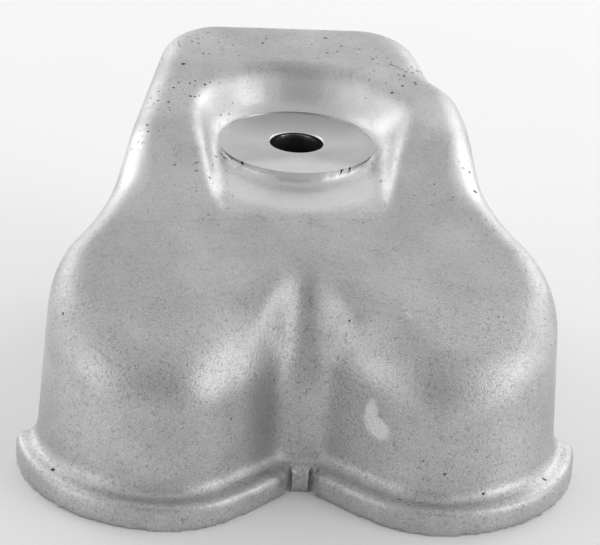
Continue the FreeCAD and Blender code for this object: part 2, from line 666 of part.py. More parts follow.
cover = doc.addObject("Part::Cut", "cover")
cover.Base = make_solid()
cover.Tool = make_hollow()
cover.Label = "rocker_cover"
cover.setExpression("Placement.Base.y", "(sizes.lobe_forward + sizes.lobe_radius"
                    " + sizes.flange_ledge - sizes.back_reach) / 2")
doc.recompute()

for item in doc.Objects:
    if "Invalid" in item.State or "Error" in item.State:
        raise RuntimeError(f"{item.Name} failed: {item.State}")
if cover.Shape.isNull() or not cover.Shape.isValid() or len(cover.Shape.Solids) != 1:
    raise RuntimeError("the cover is not one valid solid")
os.makedirs("parts", exist_ok=True)
cover.Shape.exportStep(f"parts/{cover.Label}.step")
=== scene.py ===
"""Looks for a die-cast rocker cover: the blasted casting, its turned bolt seat, and the studio."""

import logging
import math
from dataclasses import dataclass, field
from enum import Enum

import bmesh
import bpy
from mathutils import Matrix, Vector

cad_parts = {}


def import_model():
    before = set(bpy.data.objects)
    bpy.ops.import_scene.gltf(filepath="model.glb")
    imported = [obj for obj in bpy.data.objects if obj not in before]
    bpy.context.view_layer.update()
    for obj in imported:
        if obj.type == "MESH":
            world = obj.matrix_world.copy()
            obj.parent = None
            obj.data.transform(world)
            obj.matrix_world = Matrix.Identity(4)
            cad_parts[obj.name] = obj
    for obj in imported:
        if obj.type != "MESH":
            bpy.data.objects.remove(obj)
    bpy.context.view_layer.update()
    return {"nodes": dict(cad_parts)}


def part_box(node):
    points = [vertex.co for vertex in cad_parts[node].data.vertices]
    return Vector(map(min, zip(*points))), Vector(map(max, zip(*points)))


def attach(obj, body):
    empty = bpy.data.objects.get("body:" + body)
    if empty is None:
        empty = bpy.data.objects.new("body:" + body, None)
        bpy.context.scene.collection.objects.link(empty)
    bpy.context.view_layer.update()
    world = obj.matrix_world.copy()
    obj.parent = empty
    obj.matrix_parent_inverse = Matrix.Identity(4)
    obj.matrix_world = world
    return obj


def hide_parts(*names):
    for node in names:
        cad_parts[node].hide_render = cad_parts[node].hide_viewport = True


LOG = logging.getLogger("rocker_cover")
MM = 0.001


class Side(Enum):
    """Which way a boolean cutter works on the casting."""

    ADD = "UNION"
    CUT = "DIFFERENCE"


# --------------------------------------------------------------------------------------
# Node helpers
# --------------------------------------------------------------------------------------


class Nodes:
    """A short way to write shader or geometry node trees."""

    def __init__(self, tree: bpy.types.NodeTree) -> None:
        """Keeps the tree.

        Args:
            tree: The node tree to add to.
        """
        self.tree = tree

    def add(self, kind: str, values: dict | None = None, **settings: object) -> bpy.types.Node:
        """Adds a node.

        Args:
            kind: The node's type.
            values: Input socket names or numbers, each with a constant or a socket to link from.
            **settings: Properties of the node itself.

        Returns:
            The new node.
        """
        node = self.tree.nodes.new(kind)
        for name, value in settings.items():
            setattr(node, name, value)
        for key, value in (values or {}).items():
            self.put(node.inputs[key], value)
        return node

    def put(self, socket: bpy.types.NodeSocket, value: object) -> None:
        """Sets an input to a constant, or links it from another socket."""
        if isinstance(value, bpy.types.NodeSocket):
            self.tree.links.new(value, socket)
        else:
            socket.default_value = value

    def math(
        self, operation: str, first: object, second: object = 0.0, clamp: bool = False
    ) -> bpy.types.NodeSocket:
        """Adds a Math node and gives its output."""
        values = {0: first, 1: second}
        return self.add("ShaderNodeMath", values, operation=operation, use_clamp=clamp).outputs[0]

    def times(self, first: object, *others: object) -> bpy.types.NodeSocket:
        """Multiplies numbers and gives the product."""
        for other in others:
            first = self.math("MULTIPLY", first, other)
        return first

    def plus(self, first: object, second: object, share: object = 1.0) -> bpy.types.NodeSocket:
        """Adds a share of one number to another and gives the sum."""
        return self.math("ADD", first, self.math("MULTIPLY", second, share))

    def vector(
        self, operation: str, first: object, second: object = (0.0, 0.0, 0.0)
    ) -> bpy.types.NodeSocket:
        """Adds a Vector Math node and gives its output."""
        node = self.add("ShaderNodeVectorMath", {0: first, 1: second}, operation=operation)
        return node.outputs["Value" if operation in ("LENGTH", "DOT_PRODUCT") else "Vector"]

    def scaled(self, way: object, share: object) -> bpy.types.NodeSocket:
        """Scales a vector by a number and gives the result."""
        values = {"Vector": way, "Scale": share}
        return self.add("ShaderNodeVectorMath", values, operation="SCALE").outputs["Vector"]

    def span(
        self, value: object, low: float, high: float, to_low: float = 0.0, to_high: float = 1.0
    ) -> bpy.types.NodeSocket:
        """Maps a range smoothly onto another and gives the output."""
        values = {"From Min": low, "From Max": high, "To Min": to_low, "To Max": to_high}
        node = self.add("ShaderNodeMapRange", values, interpolation_type="SMOOTHSTEP")
        self.put(node.inputs["Value"], value)
        return node.outputs["Result"]

    def noise(
        self, where: object, scale: object, detail: float = 2.0, roughness: float = 0.5
    ) -> bpy.types.NodeSocket:
        """Adds a noise texture and gives its value."""
        values = {"Vector": where, "Scale": scale, "Detail": detail, "Roughness": roughness}
        return self.add("ShaderNodeTexNoise", values).outputs["Fac"]

    def use(self, tree: bpy.types.NodeTree, values: dict[str, object]) -> bpy.types.Node:
        """Adds a node group with these input values."""
        return self.add("ShaderNodeGroup", values, node_tree=tree)

    def blend(self, share: object, first: object, second: object) -> bpy.types.NodeSocket:
        """Mixes two colours and gives the result."""
        node = self.add("ShaderNodeMix", data_type="RGBA")
        self.put(node.inputs[0], share)
        self.put(node.inputs[6], first)
        self.put(node.inputs[7], second)
        return node.outputs[2]


def grey(value: float) -> tuple[float, float, float, float]:
    """A neutral colour."""
    return (value, value, value, 1.0)


# --------------------------------------------------------------------------------------
# Shared effects
# --------------------------------------------------------------------------------------


def new_group(
    name: str, kind: str, inputs: dict[str, tuple[str, object]], outputs: dict[str, str]
) -> Nodes:
    """Makes an empty node group with named sockets.

    Args:
        name: The group's name.
        kind: The tree's type.
        inputs: Socket names with their type and default.
        outputs: Socket names with their type.

    Returns:
        A writer for the group's tree.
    """
    tree = bpy.data.node_groups.new(name, kind)
    for label, (socket_kind, default) in inputs.items():
        socket = tree.interface.new_socket(label, in_out="INPUT", socket_type=socket_kind)
        if default is not None:
            socket.default_value = default
    for label, socket_kind in outputs.items():
        tree.interface.new_socket(label, in_out="OUTPUT", socket_type=socket_kind)
    return Nodes(tree)


def wander(group: Nodes, where: object, scale: float, reach: float) -> bpy.types.NodeSocket:
    """Shifts a place by a small noise, so that what is drawn there loses its ruled look."""
    noise = group.add("ShaderNodeTexNoise", {"Vector": where, "Scale": scale, "Detail": 2.0})
    centred = group.vector("SUBTRACT", noise.outputs["Color"], (0.5, 0.5, 0.5))
    return group.vector("ADD", where, group.scaled(centred, reach))


def pore_group() -> bpy.types.NodeTree:
    """Scattered gas pores: a mask that is 1 in each small pit."""
    group = new_group(
        "casting_pores",
        "ShaderNodeTree",
        {
            "Where": ("NodeSocketVector", None),
            "Scale": ("NodeSocketFloat", 420.0),
            "Share": ("NodeSocketFloat", 0.1),
            "Size": ("NodeSocketFloat", 0.25),
        },
        {"Mask": "NodeSocketFloat"},
    )
    way_in = group.add("NodeGroupInput")
    way_out = group.add("NodeGroupOutput")
    where = wander(group, way_in.outputs["Where"], 1300.0, 0.0011)
    cells = group.add("ShaderNodeTexVoronoi", {"Vector": where, "Scale": way_in.outputs["Scale"]})
    tone = group.add("ShaderNodeSeparateColor", {"Color": cells.outputs["Color"]})
    chosen = group.math("LESS_THAN", tone.outputs["Red"], way_in.outputs["Share"])
    reach = group.times(way_in.outputs["Size"], group.math("ADD", tone.outputs["Green"], 0.35))
    off = group.math("DIVIDE", cells.outputs["Distance"], reach)
    pit = group.math("SUBTRACT", 1.0, off, clamp=True)
    steep = group.math("MULTIPLY", pit, 2.5, clamp=True)
    group.put(way_out.inputs["Mask"], group.times(chosen, steep))
    return group.tree


def blast_group() -> bpy.types.NodeTree:
    """The blasted skin: two sizes of grain, a slow drift of tone, bright grains and dark pits."""
    group = new_group(
        "blasted_grain",
        "ShaderNodeTree",
        {
            "Where": ("NodeSocketVector", None),
            "Coarse": ("NodeSocketFloat", 1100.0),
            "Fine": ("NodeSocketFloat", 3000.0),
        },
        dict.fromkeys(("Relief", "Drift", "Sparkle", "Pits"), "NodeSocketFloat"),
    )
    way_in = group.add("NodeGroupInput")
    way_out = group.add("NodeGroupOutput")
    where = way_in.outputs["Where"]
    coarse = group.noise(where, way_in.outputs["Coarse"], 2.0, 0.6)
    fine = group.noise(where, way_in.outputs["Fine"], 1.0, 0.6)
    relief = group.plus(group.times(coarse, 0.6), fine, 0.4)
    group.put(way_out.inputs["Relief"], relief)
    group.put(way_out.inputs["Drift"], group.noise(where, 55.0, 5.0, 0.6))
    group.put(way_out.inputs["Sparkle"], group.span(fine, 0.50, 0.66))
    group.put(way_out.inputs["Pits"], group.span(relief, 0.47, 0.36))
    return group.tree


def line_group() -> bpy.types.NodeTree:
    """A fine line between two places: a mask that is 1 on it, broken where the fray lets it."""
    group = new_group(
        "fine_line",
        "ShaderNodeTree",
        {
            "Where": ("NodeSocketVector", None),
            "Start": ("NodeSocketVector", None),
            "End": ("NodeSocketVector", None),
            "Width": ("NodeSocketFloat", 0.0003),
            "Breaks": ("NodeSocketFloat", 0.0),
            "Fray": ("NodeSocketFloat", 0.5),
        },
        {"Mask": "NodeSocketFloat"},
    )
    way_in = group.add("NodeGroupInput")
    way_out = group.add("NodeGroupOutput")
    start = way_in.outputs["Start"]
    run = group.vector("SUBTRACT", way_in.outputs["End"], start)
    off = group.vector("SUBTRACT", way_in.outputs["Where"], start)
    reached = group.vector("DOT_PRODUCT", off, run)
    share = group.math("DIVIDE", reached, group.vector("DOT_PRODUCT", run, run), clamp=True)
    gap = group.vector("LENGTH", group.vector("SUBTRACT", off, group.scaled(run, share)))
    aside = group.math("DIVIDE", gap, way_in.outputs["Width"])
    line = group.math("SUBTRACT", 1.0, aside, clamp=True)
    lost = group.times(way_in.outputs["Fray"], way_in.outputs["Breaks"])
    kept = group.math("SUBTRACT", 1.0, lost)
    group.put(way_out.inputs["Mask"], group.math("MULTIPLY", line, kept, clamp=True))
    return group.tree


def spot_group() -> bpy.types.NodeTree:
    """A small spot: a mask that is 1 inside it."""
    group = new_group(
        "spot",
        "ShaderNodeTree",
        {
            "Where": ("NodeSocketVector", None),
            "Centre": ("NodeSocketVector", None),
            "Reach": ("NodeSocketVector", (0.001, 0.001, 0.001)),
            "Soft": ("NodeSocketFloat", 0.3),
        },
        {"Mask": "NodeSocketFloat"},
    )
    way_in = group.add("NodeGroupInput")
    way_out = group.add("NodeGroupOutput")
    off = group.vector("SUBTRACT", way_in.outputs["Where"], way_in.outputs["Centre"])
    off = group.vector("DIVIDE", off, way_in.outputs["Reach"])
    inside = group.math("SUBTRACT", 1.0, group.vector("LENGTH", off))
    mask = group.math("DIVIDE", inside, way_in.outputs["Soft"], clamp=True)
    group.put(way_out.inputs["Mask"], mask)
    return group.tree


# --------------------------------------------------------------------------------------
# Marks on the skin, and patches of painted light and painted shade
# --------------------------------------------------------------------------------------

Place = tuple[float, float, float]


@dataclass(frozen=True)
class Ground:
    """What all marks share: the shaken place, the noise that breaks lines, and the mask groups."""

    where: bpy.types.NodeSocket
    breaks: bpy.types.NodeSocket
    line: bpy.types.NodeTree
    spot: bpy.types.NodeTree


@dataclass(frozen=True)
class Mark:
    """What a mark does to the skin: its tone, how much of it shows, its relief and roughness."""

    tone: float
    strength: float
    lift: float = 0.0
    polish: float = 0.0

    def mask(self, nodes: Nodes, ground: Ground) -> bpy.types.NodeSocket:
        """Gives the mark's mask.

        Args:
            nodes: The writer of the material's tree.
            ground: What all marks share.

        Returns:
            A socket that is 1 on the mark.
        """
        raise NotImplementedError


@dataclass(frozen=True)
class LineMark(Mark):
    """A witness line, flow line, crack or scratch, in millimetres."""

    start: Place = (0.0, 0.0, 0.0)
    end: Place = (0.0, 0.0, 0.0)
    width: float = 0.3
    fray: float = 0.6

    def mask(self, nodes: Nodes, ground: Ground) -> bpy.types.NodeSocket:
        """Gives the line's mask; see Mark.mask."""
        values = {
            "Where": ground.where,
            "Start": tuple(value * MM for value in self.start),
            "End": tuple(value * MM for value in self.end),
            "Width": self.width * MM,
            "Breaks": ground.breaks,
            "Fray": self.fray,
        }
        return nodes.use(ground.line, values).outputs["Mask"]


@dataclass(frozen=True)
class SpotMark(Mark):
    """A nick, a big pore, a bare patch, or a soft patch of painted light or painted shade, in
    millimetres.
    """

    centre: Place = (0.0, 0.0, 0.0)
    reach: Place = (1.0, 1.0, 1.0)
    soft: float = 0.3

    def mask(self, nodes: Nodes, ground: Ground) -> bpy.types.NodeSocket:
        """Gives the spot's mask; see Mark.mask."""
        values = {
            "Where": ground.where,
            "Centre": tuple(value * MM for value in self.centre),
            "Reach": tuple(value * MM for value in self.reach),
            "Soft": self.soft,
        }
        return nodes.use(ground.spot, values).outputs["Mask"]


DIE_LINE = {"tone": 0.36, "strength": 0.45, "lift": 0.02}
FLOW_LINE = {"tone": 0.34, "strength": 0.5, "lift": -0.02}
CRACK = {"tone": 0.05, "strength": 0.95, "lift": -0.12, "polish": 0.2}
PORE = {"tone": 0.07, "strength": 0.9, "lift": -0.15, "polish": 0.3}

SCRATCH = {"tone": 0.9, "strength": 0.7, "lift": -0.05}
# painted light: paler patches on the recess floor, on the bowl and top behind the seat, and on the
# neck's shoulders, brightened to stand in for reflected light; they also lower the roughness a
# little
PAINTED_LIGHT_RECESS_FLOOR = {"tone": 0.80, "strength": 0.6, "polish": -0.03}
PAINTED_LIGHT_TOP = {"tone": 0.80, "strength": 0.5, "polish": -0.04}
PAINTED_LIGHT_SHOULDER = {"tone": 0.84, "strength": 0.55, "polish": -0.05}
# painted shade: darkens the left lobe's flank inside the valley between the lobes
PAINTED_SHADE_FLANK = {"tone": 0.30, "strength": 0.65}
BARE = {"tone": 0.93, "strength": 0.8, "polish": -0.08}

MARKS: tuple[Mark, ...] = (
    LineMark(**DIE_LINE, start=(-42.0, -20.6, 52.8), end=(-14.8, -18.7, 53.5), width=0.35),
    LineMark(**DIE_LINE, start=(-14.8, -18.7, 53.5), end=(12.0, -17.9, 53.9), width=0.35),
    LineMark(**DIE_LINE, start=(12.0, -17.9, 53.9), end=(39.0, -17.8, 53.9), width=0.35),
    LineMark(**FLOW_LINE, start=(-48.4, -52.8, 37.5), end=(-43.5, -56.8, 36.0), width=0.5),
    LineMark(**FLOW_LINE, start=(-43.5, -56.8, 36.0), end=(-39.5, -60.7, 32.0), width=0.5),
    LineMark(**FLOW_LINE, start=(-39.5, -60.7, 32.0), end=(-35.0, -62.7, 29.4), width=0.5),
    LineMark(**CRACK, start=(17.0, 6.6, 59.3), end=(19.2, 8.2, 59.3), width=0.45, fray=0.3),
    LineMark(**CRACK, start=(19.2, 8.2, 59.3), end=(21.4, 9.0, 60.4), width=0.30, fray=0.3),
    LineMark(**CRACK, start=(-18.6, 8.2, 58.6), end=(-17.0, 5.0, 58.3), width=0.30, fray=0.6),
    LineMark(**SCRATCH, start=(21.8, -44.6, 43.4), end=(23.9, -46.3, 42.8), width=0.35, fray=0.2),
    LineMark(**CRACK, start=(-28.6, 52.4, 70.7), end=(-27.9, 48.4, 70.5), width=0.35, fray=0.4),
    LineMark(**CRACK, start=(24.4, 42.6, 69.7), end=(27.6, 39.8, 69.4), width=0.40, fray=0.4),
    # painted light on the recess floor, the top behind the seat and both shoulders
    SpotMark(**PAINTED_LIGHT_RECESS_FLOOR, centre=(0.0, -5.0, 56.5), reach=(23.0, 13.0, 5.0), soft=0.25),
    SpotMark(**PAINTED_LIGHT_TOP, centre=(0.0, 26.0, 62.5), reach=(30.0, 20.0, 8.0), soft=0.25),
    SpotMark(**PAINTED_LIGHT_SHOULDER, centre=(-39.5, 1.0, 59.5), reach=(5.0, 16.0, 9.0), soft=0.5),
    SpotMark(**PAINTED_LIGHT_SHOULDER, centre=(39.5, -1.0, 59.5), reach=(5.0, 16.0, 9.0), soft=0.5),
    # painted shade on the left flank of the valley
    SpotMark(**PAINTED_SHADE_FLANK, centre=(-8.5, -51.5, 22.0), reach=(7.5, 7.5, 20.0), soft=0.7),
    SpotMark(**BARE, centre=(14.6, -55.2, 23.0), reach=(2.0, 2.6, 4.2), soft=0.4),
    SpotMark(**BARE, centre=(16.4, -57.0, 20.2), reach=(3.4, 4.0, 3.0), soft=0.4),
    SpotMark(**PORE, centre=(-27.5, 39.2, 69.3), reach=(0.63, 0.49, 0.56)),
    SpotMark(**PORE, centre=(-32.6, 47.3, 67.6), reach=(0.35, 0.56, 0.35)),
    SpotMark(**PORE, centre=(-20.8, 55.9, 71.7), reach=(0.35, 0.28, 0.42)),
    SpotMark(**PORE, centre=(-35.6, 24.5, 65.8), reach=(0.35, 0.49, 0.35)),
    SpotMark(**PORE, centre=(-31.2, 19.9, 66.6), reach=(0.63, 0.42, 0.56)),
    SpotMark(**PORE, centre=(-21.4, -5.3, 58.1), reach=(0.42, 0.56, 0.42)),
    SpotMark(**PORE, centre=(28.4, 39.0, 69.3), reach=(0.49, 0.42, 0.49)),
    SpotMark(**PORE, centre=(26.9, 31.5, 68.2), reach=(0.42, 0.42, 0.49)),
    SpotMark(**PORE, centre=(41.3, -7.0, 57.0), reach=(0.63, 0.63, 0.63)),
    SpotMark(**PORE, centre=(40.6, -0.3, 58.9), reach=(0.42, 0.56, 0.42)),
    SpotMark(**PORE, centre=(-56.1, -54.4, 6.4), reach=(0.7, 0.49, 0.49)),
    SpotMark(**PORE, centre=(55.7, -54.8, 6.4), reach=(0.63, 0.42, 0.49)),
    SpotMark(**PORE, centre=(40.3, -63.4, 7.6), reach=(0.56, 0.42, 0.42)),
)


# --------------------------------------------------------------------------------------
# Finishes
# --------------------------------------------------------------------------------------


@dataclass(frozen=True)
class Seat:
    """The machined bolt seat and its hole, in metres."""

    bolt_y: float
    radius: float = 19.0 * MM
    height: float = 59.3 * MM
    hole: float = 6.5 * MM
    chamfer: float = 0.3 * MM
    skim: float = 0.05 * MM
    step: float = 1.75 * MM
    floor_fall: float = math.radians(9.0)

    def radius_of(self, nodes: Nodes, place: object) -> bpy.types.NodeSocket:
        """How far a place lies from the bolt's axis."""
        off = nodes.vector("SUBTRACT", place, (0.0, self.bolt_y, 0.0))
        return nodes.vector("LENGTH", nodes.vector("MULTIPLY", off, (1.0, 1.0, 0.0)))


@dataclass(frozen=True)
class CastAluminium:
    """Bare die-cast aluminium after a light blast: satin, grained, with pores and a turned seat,
    and painted shade on the bolt hole's wall.
    """

    name: str = "cast_aluminium"
    tone: float = 0.585
    dull_tone: float = 0.475
    roughness: float = 0.49
    turned_roughness: float = 0.36
    grain: float = 0.16 * MM
    sparkle_tone: float = 0.95
    sparkle_share: float = 0.26
    pit_tone: float = 0.24
    pit_share: float = 0.50
    pore_tone: float = 0.08
    pore_depth: float = 0.10 * MM
    craze_tone: float = 0.22
    craze_share: float = 0.20
    craze_depth: float = 0.015 * MM
    streak_depth: float = 0.10 * MM
    ring_depth: float = 0.002 * MM
    ring_pitch: float = 0.45 * MM
    # painted shade: the bolt hole's wall is darkened to near black, standing in for the shade
    # inside the hole
    bore_shade_tone: float = 0.06
    bore_shade_share: float = 0.85

    def make(self, seat: Seat) -> bpy.types.Material:
        """Builds the material.

        Args:
            seat: The machined seat.

        Returns:
            The finished material.
        """
        material = bpy.data.materials.new(self.name)
        material.use_nodes = True
        material.node_tree.nodes.clear()
        nodes = Nodes(material.node_tree)
        place = nodes.add("ShaderNodeTexCoord").outputs["Object"]
        axes = nodes.add("ShaderNodeSeparateXYZ", {"Vector": place})
        height = axes.outputs["Z"]
        turned = self.turned_mask(nodes, place, height, seat)
        rough_cast = nodes.math("SUBTRACT", 1.0, turned)
        blasted = nodes.times(nodes.span(height, 0.054, 0.036, 0.55, 1.0), rough_cast)
        pores = nodes.times(self.pore_mask(nodes, place, height), rough_cast)
        craze = nodes.times(self.crazing(nodes, place), rough_cast)

        grain = nodes.use(blast_group(), {"Where": place})
        drift = nodes.span(grain.outputs["Drift"], 0.32, 0.68)
        colour = nodes.blend(drift, self.metal(self.dull_tone), self.metal(self.tone))
        sparkle = nodes.times(grain.outputs["Sparkle"], blasted, self.sparkle_share)
        colour = nodes.blend(sparkle, colour, grey(self.sparkle_tone))
        pits = nodes.times(grain.outputs["Pits"], blasted, self.pit_share)
        colour = nodes.blend(pits, colour, grey(self.pit_tone))
        colour = nodes.blend(pores, colour, grey(self.pore_tone))
        colour = nodes.blend(nodes.times(craze, self.craze_share), colour, grey(self.craze_tone))

        relief = nodes.times(grain.outputs["Relief"], blasted, self.grain)
        relief = nodes.plus(relief, pores, -self.pore_depth)
        relief = nodes.plus(relief, self.streaks(nodes, axes), self.streak_depth)
        relief = nodes.plus(relief, self.rings(nodes, place, turned, seat), self.ring_depth)
        relief = nodes.plus(relief, craze, -self.craze_depth)
        rough = nodes.math("ADD", nodes.times(drift, -0.05), self.roughness + 0.02)
        rough = nodes.plus(rough, turned, self.turned_roughness - self.roughness)
        rough = nodes.plus(rough, pores, 0.3)

        ground = self.ground(nodes, place)
        # the marks are pores, cracks, lines and bare patches, and also patches of painted light and
        # painted shade
        for mark in MARKS:
            mask = mark.mask(nodes, ground)
            colour = nodes.blend(nodes.times(mask, mark.strength), colour, grey(mark.tone))
            relief = nodes.plus(relief, mask, mark.lift * MM)
            if mark.polish:
                rough = nodes.plus(rough, mask, mark.polish)
        # painted shade: darkens the bolt hole's wall
        painted_bore_shade = nodes.times(self.bore_shade_mask(nodes, place, height, seat), self.bore_shade_share)
        colour = nodes.blend(painted_bore_shade, colour, grey(self.bore_shade_tone))
        bump = nodes.add("ShaderNodeBump", {"Height": relief, "Distance": 1.0, "Strength": 1.0})
        look = {
            "Base Color": colour,
            "Metallic": 1.0,
            "Roughness": nodes.math("MINIMUM", rough, 0.9),
            "Normal": bump.outputs["Normal"],
        }
        shader = nodes.add("ShaderNodeBsdfPrincipled", look)
        nodes.add("ShaderNodeOutputMaterial", {"Surface": shader.outputs["BSDF"]})
        return material

    def metal(self, value: float) -> tuple[float, float, float, float]:
        """The metal's faintly cool grey at this brightness."""
        return (value * 0.985, value, value * 0.99, 1.0)

    def ground(self, nodes: Nodes, place: object) -> Ground:
        """What the marks are drawn on."""
        shaken = wander(nodes, wander(nodes, place, 260.0, 0.0016), 1500.0, 0.0006)
        breaks = nodes.span(nodes.noise(place, 330.0, 3.0, 0.6), 0.40, 0.56)
        return Ground(shaken, breaks, line_group(), spot_group())

    def turned_mask(
        self, nodes: Nodes, place: object, height: object, seat: Seat
    ) -> bpy.types.NodeSocket:
        """1 on the seat's turned face."""
        reach = seat.radius + 0.05 * MM
        inside = nodes.math("LESS_THAN", seat.radius_of(nodes, place), reach)
        off = nodes.math("ABSOLUTE", nodes.math("SUBTRACT", height, seat.height))
        return nodes.times(inside, nodes.math("LESS_THAN", off, 0.15 * MM))

    def bore_shade_mask(
        self, nodes: Nodes, place: object, height: object, seat: Seat
    ) -> bpy.types.NodeSocket:
        """1 on the wall of the bolt hole, where painted shade darkens it."""
        reach = seat.hole + 0.1 * MM
        rim = seat.height - seat.skim - seat.chamfer
        inside = nodes.math("LESS_THAN", seat.radius_of(nodes, place), reach)
        return nodes.times(inside, nodes.math("LESS_THAN", height, rim))

    def rings(
        self, nodes: Nodes, place: object, turned: object, seat: Seat
    ) -> bpy.types.NodeSocket:
        """The fine rings that the tool leaves on the seat."""
        turns = nodes.times(seat.radius_of(nodes, place), math.tau / self.ring_pitch)
        return nodes.times(nodes.math("SINE", turns), turned)

    def streaks(self, nodes: Nodes, axes: bpy.types.Node) -> bpy.types.NodeSocket:
        """Upright drag marks on the strip between the lobes."""
        drawn_out = nodes.times(axes.outputs["Z"], 0.05)
        values = {"X": axes.outputs["X"], "Y": 0.0, "Z": drawn_out}
        spread = nodes.add("ShaderNodeCombineXYZ", values)
        lines = nodes.noise(spread.outputs["Vector"], 520.0, 3.0, 0.7)
        beside = nodes.span(nodes.math("ABSOLUTE", axes.outputs["X"]), 0.0085, 0.0045)
        ahead = nodes.span(axes.outputs["Y"], -0.040, -0.044)
        return nodes.times(lines, nodes.times(beside, ahead))

    def crazing(self, nodes: Nodes, place: object) -> bpy.types.NodeSocket:
        """Fine wandering lines where the metal's skin folded as it froze."""
        where = wander(nodes, place, 120.0, 0.010)
        where = wander(nodes, where, 700.0, 0.0014)
        values = {"Vector": where, "Scale": 95.0}
        cells = nodes.add("ShaderNodeTexVoronoi", values, feature="DISTANCE_TO_EDGE")
        line = nodes.span(cells.outputs["Distance"], 0.030, 0.008)
        shown = nodes.span(nodes.noise(place, 200.0, 3.0, 0.6), 0.52, 0.62)
        return nodes.times(line, shown)

    def pore_mask(self, nodes: Nodes, place: object, height: object) -> bpy.types.NodeSocket:
        """Pores in clusters: many along the top and its edges, few on the lobes' walls."""
        patchy = nodes.span(nodes.noise(place, 70.0, 2.0), 0.42, 0.60)
        high_up = nodes.span(height, 0.046, 0.066, 0.04, 1.0)
        tree = pore_group()
        fine = nodes.use(tree, {"Where": place, "Scale": 800.0, "Share": 0.36, "Size": 0.29})
        stray = nodes.use(tree, {"Where": place, "Scale": 420.0, "Share": 0.03, "Size": 0.12})
        clustered = nodes.times(fine.outputs["Mask"], nodes.times(patchy, high_up))
        return nodes.math("MAXIMUM", clustered, stray.outputs["Mask"])


@dataclass(frozen=True)
class PaleFloor:
    """A plain, matt, pale sweep of studio floor."""

    name: str = "pale_floor"
    tone: float = 0.93

    def make(self) -> bpy.types.Material:
        """Builds the material."""
        material = bpy.data.materials.new(self.name)
        material.use_nodes = True
        material.node_tree.nodes.clear()
        nodes = Nodes(material.node_tree)
        look = {"Base Color": grey(self.tone), "Roughness": 0.9, "Specular IOR Level": 0.1}
        shader = nodes.add("ShaderNodeBsdfPrincipled", look)
        nodes.add("ShaderNodeOutputMaterial", {"Surface": shader.outputs["BSDF"]})
        return material


# --------------------------------------------------------------------------------------
# The casting
# --------------------------------------------------------------------------------------


@dataclass(frozen=True)
class Lump:
    """A small local rise of the skin, in millimetres."""

    centre: Place
    reach: Place
    lift: float


@dataclass(frozen=True)
class Gutter:
    """The upper end of the valley, pressed into the skin between the lobes, in millimetres."""

    middle: Place = (0.0, -43.4, 40.0)
    lean: float = 57.0
    top_half_width: float = 6.0
    foot_half_width: float = 12.5
    half_length: float = 17.0
    depth: float = 4.2


@dataclass(frozen=True)
class Swell:
    """The neck's fuller right side behind the seat, where the recess widens too, in metres."""

    inner: float = 17.0 * MM
    outer: float = 26.0 * MM
    rear: float = 39.5 * MM
    full: float = 29.0 * MM
    front: float = -6.0 * MM
    low: float = 14.0 * MM
    high: float = 46.0 * MM
    reach: float = 3.7 * MM


@dataclass(frozen=True)
class Notch:
    """The pair of upright half-round notches in the flange at the valley's foot, in metres."""

    aside: float = 3.0 * MM
    ahead: float = -51.7 * MM
    radius: float = 1.15 * MM
    top: float = 10.0 * MM


